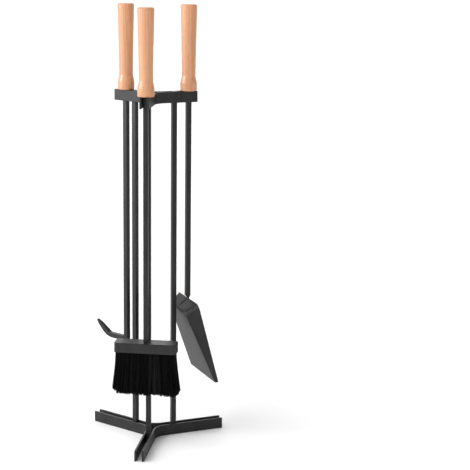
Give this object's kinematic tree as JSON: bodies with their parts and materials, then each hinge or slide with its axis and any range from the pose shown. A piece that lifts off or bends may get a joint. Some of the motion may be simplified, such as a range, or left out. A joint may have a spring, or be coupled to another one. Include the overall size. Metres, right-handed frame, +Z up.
{
  "type": "fireplace tool set",
  "caption": "Three-armed black steel stand of bent flat bar carrying a poker with a side hook, a brush and a shovel, each on a square rod with a turned wooden handle.",
  "frame": {"origin": "on the floor under the middle of the set's bounding box", "axes": "+Z up along the posts, -Y along the front arm, which carries the brush, +X to the right seen from the front"},
  "size_m": [0.2228, 0.2228, 0.7203],
  "materials": {
    "black_powder_coat": "satin black powder coat with a faint grain",
    "beech": "clear satin lacquer on turned beech",
    "brass": "plain machined brass",
    "zinc_plate": "zinc-plated steel",
    "black_fibre": "stiff matt black fibre"
  },
  "bodies": {
    "stand": {"base_strip_back": "black_powder_coat", "base_strip_front_left": "black_powder_coat", "base_strip_front_right": "black_powder_coat", "top_strip_back": "black_powder_coat", "top_strip_front_left": "black_powder_coat", "top_strip_front_right": "black_powder_coat", "post_front": "black_powder_coat", "post_left": "black_powder_coat", "post_right": "black_powder_coat"},
    "poker": {"poker_rod": "black_powder_coat", "poker_hook": "black_powder_coat", "poker_handle": "beech", "poker_insert": "brass"},
    "brush": {"brush_rod": "black_powder_coat", "brush_cap": "black_powder_coat", "brush_block": "beech", "brush_nut": "zinc_plate", "brush_bristles": "black_fibre", "brush_handle": "beech", "brush_insert": "brass"},
    "shovel": {"shovel_rod": "black_powder_coat", "shovel_pan": "black_powder_coat", "shovel_handle": "beech", "shovel_insert": "brass"}
  },
  "joints": [
    {"name": "poker_slide_out", "type": "slide", "parent": "stand", "child": "poker", "axis": [-0.866, 0.5, 0], "range_m": [0, 0.15]},
    {"name": "brush_slide_out", "type": "slide", "parent": "stand", "child": "brush", "axis": [0, -1, 0], "range_m": [0, 0.15]},
    {"name": "shovel_slide_out", "type": "slide", "parent": "stand", "child": "shovel", "axis": [0.866, 0.5, 0], "range_m": [0, 0.15]}
  ]
}
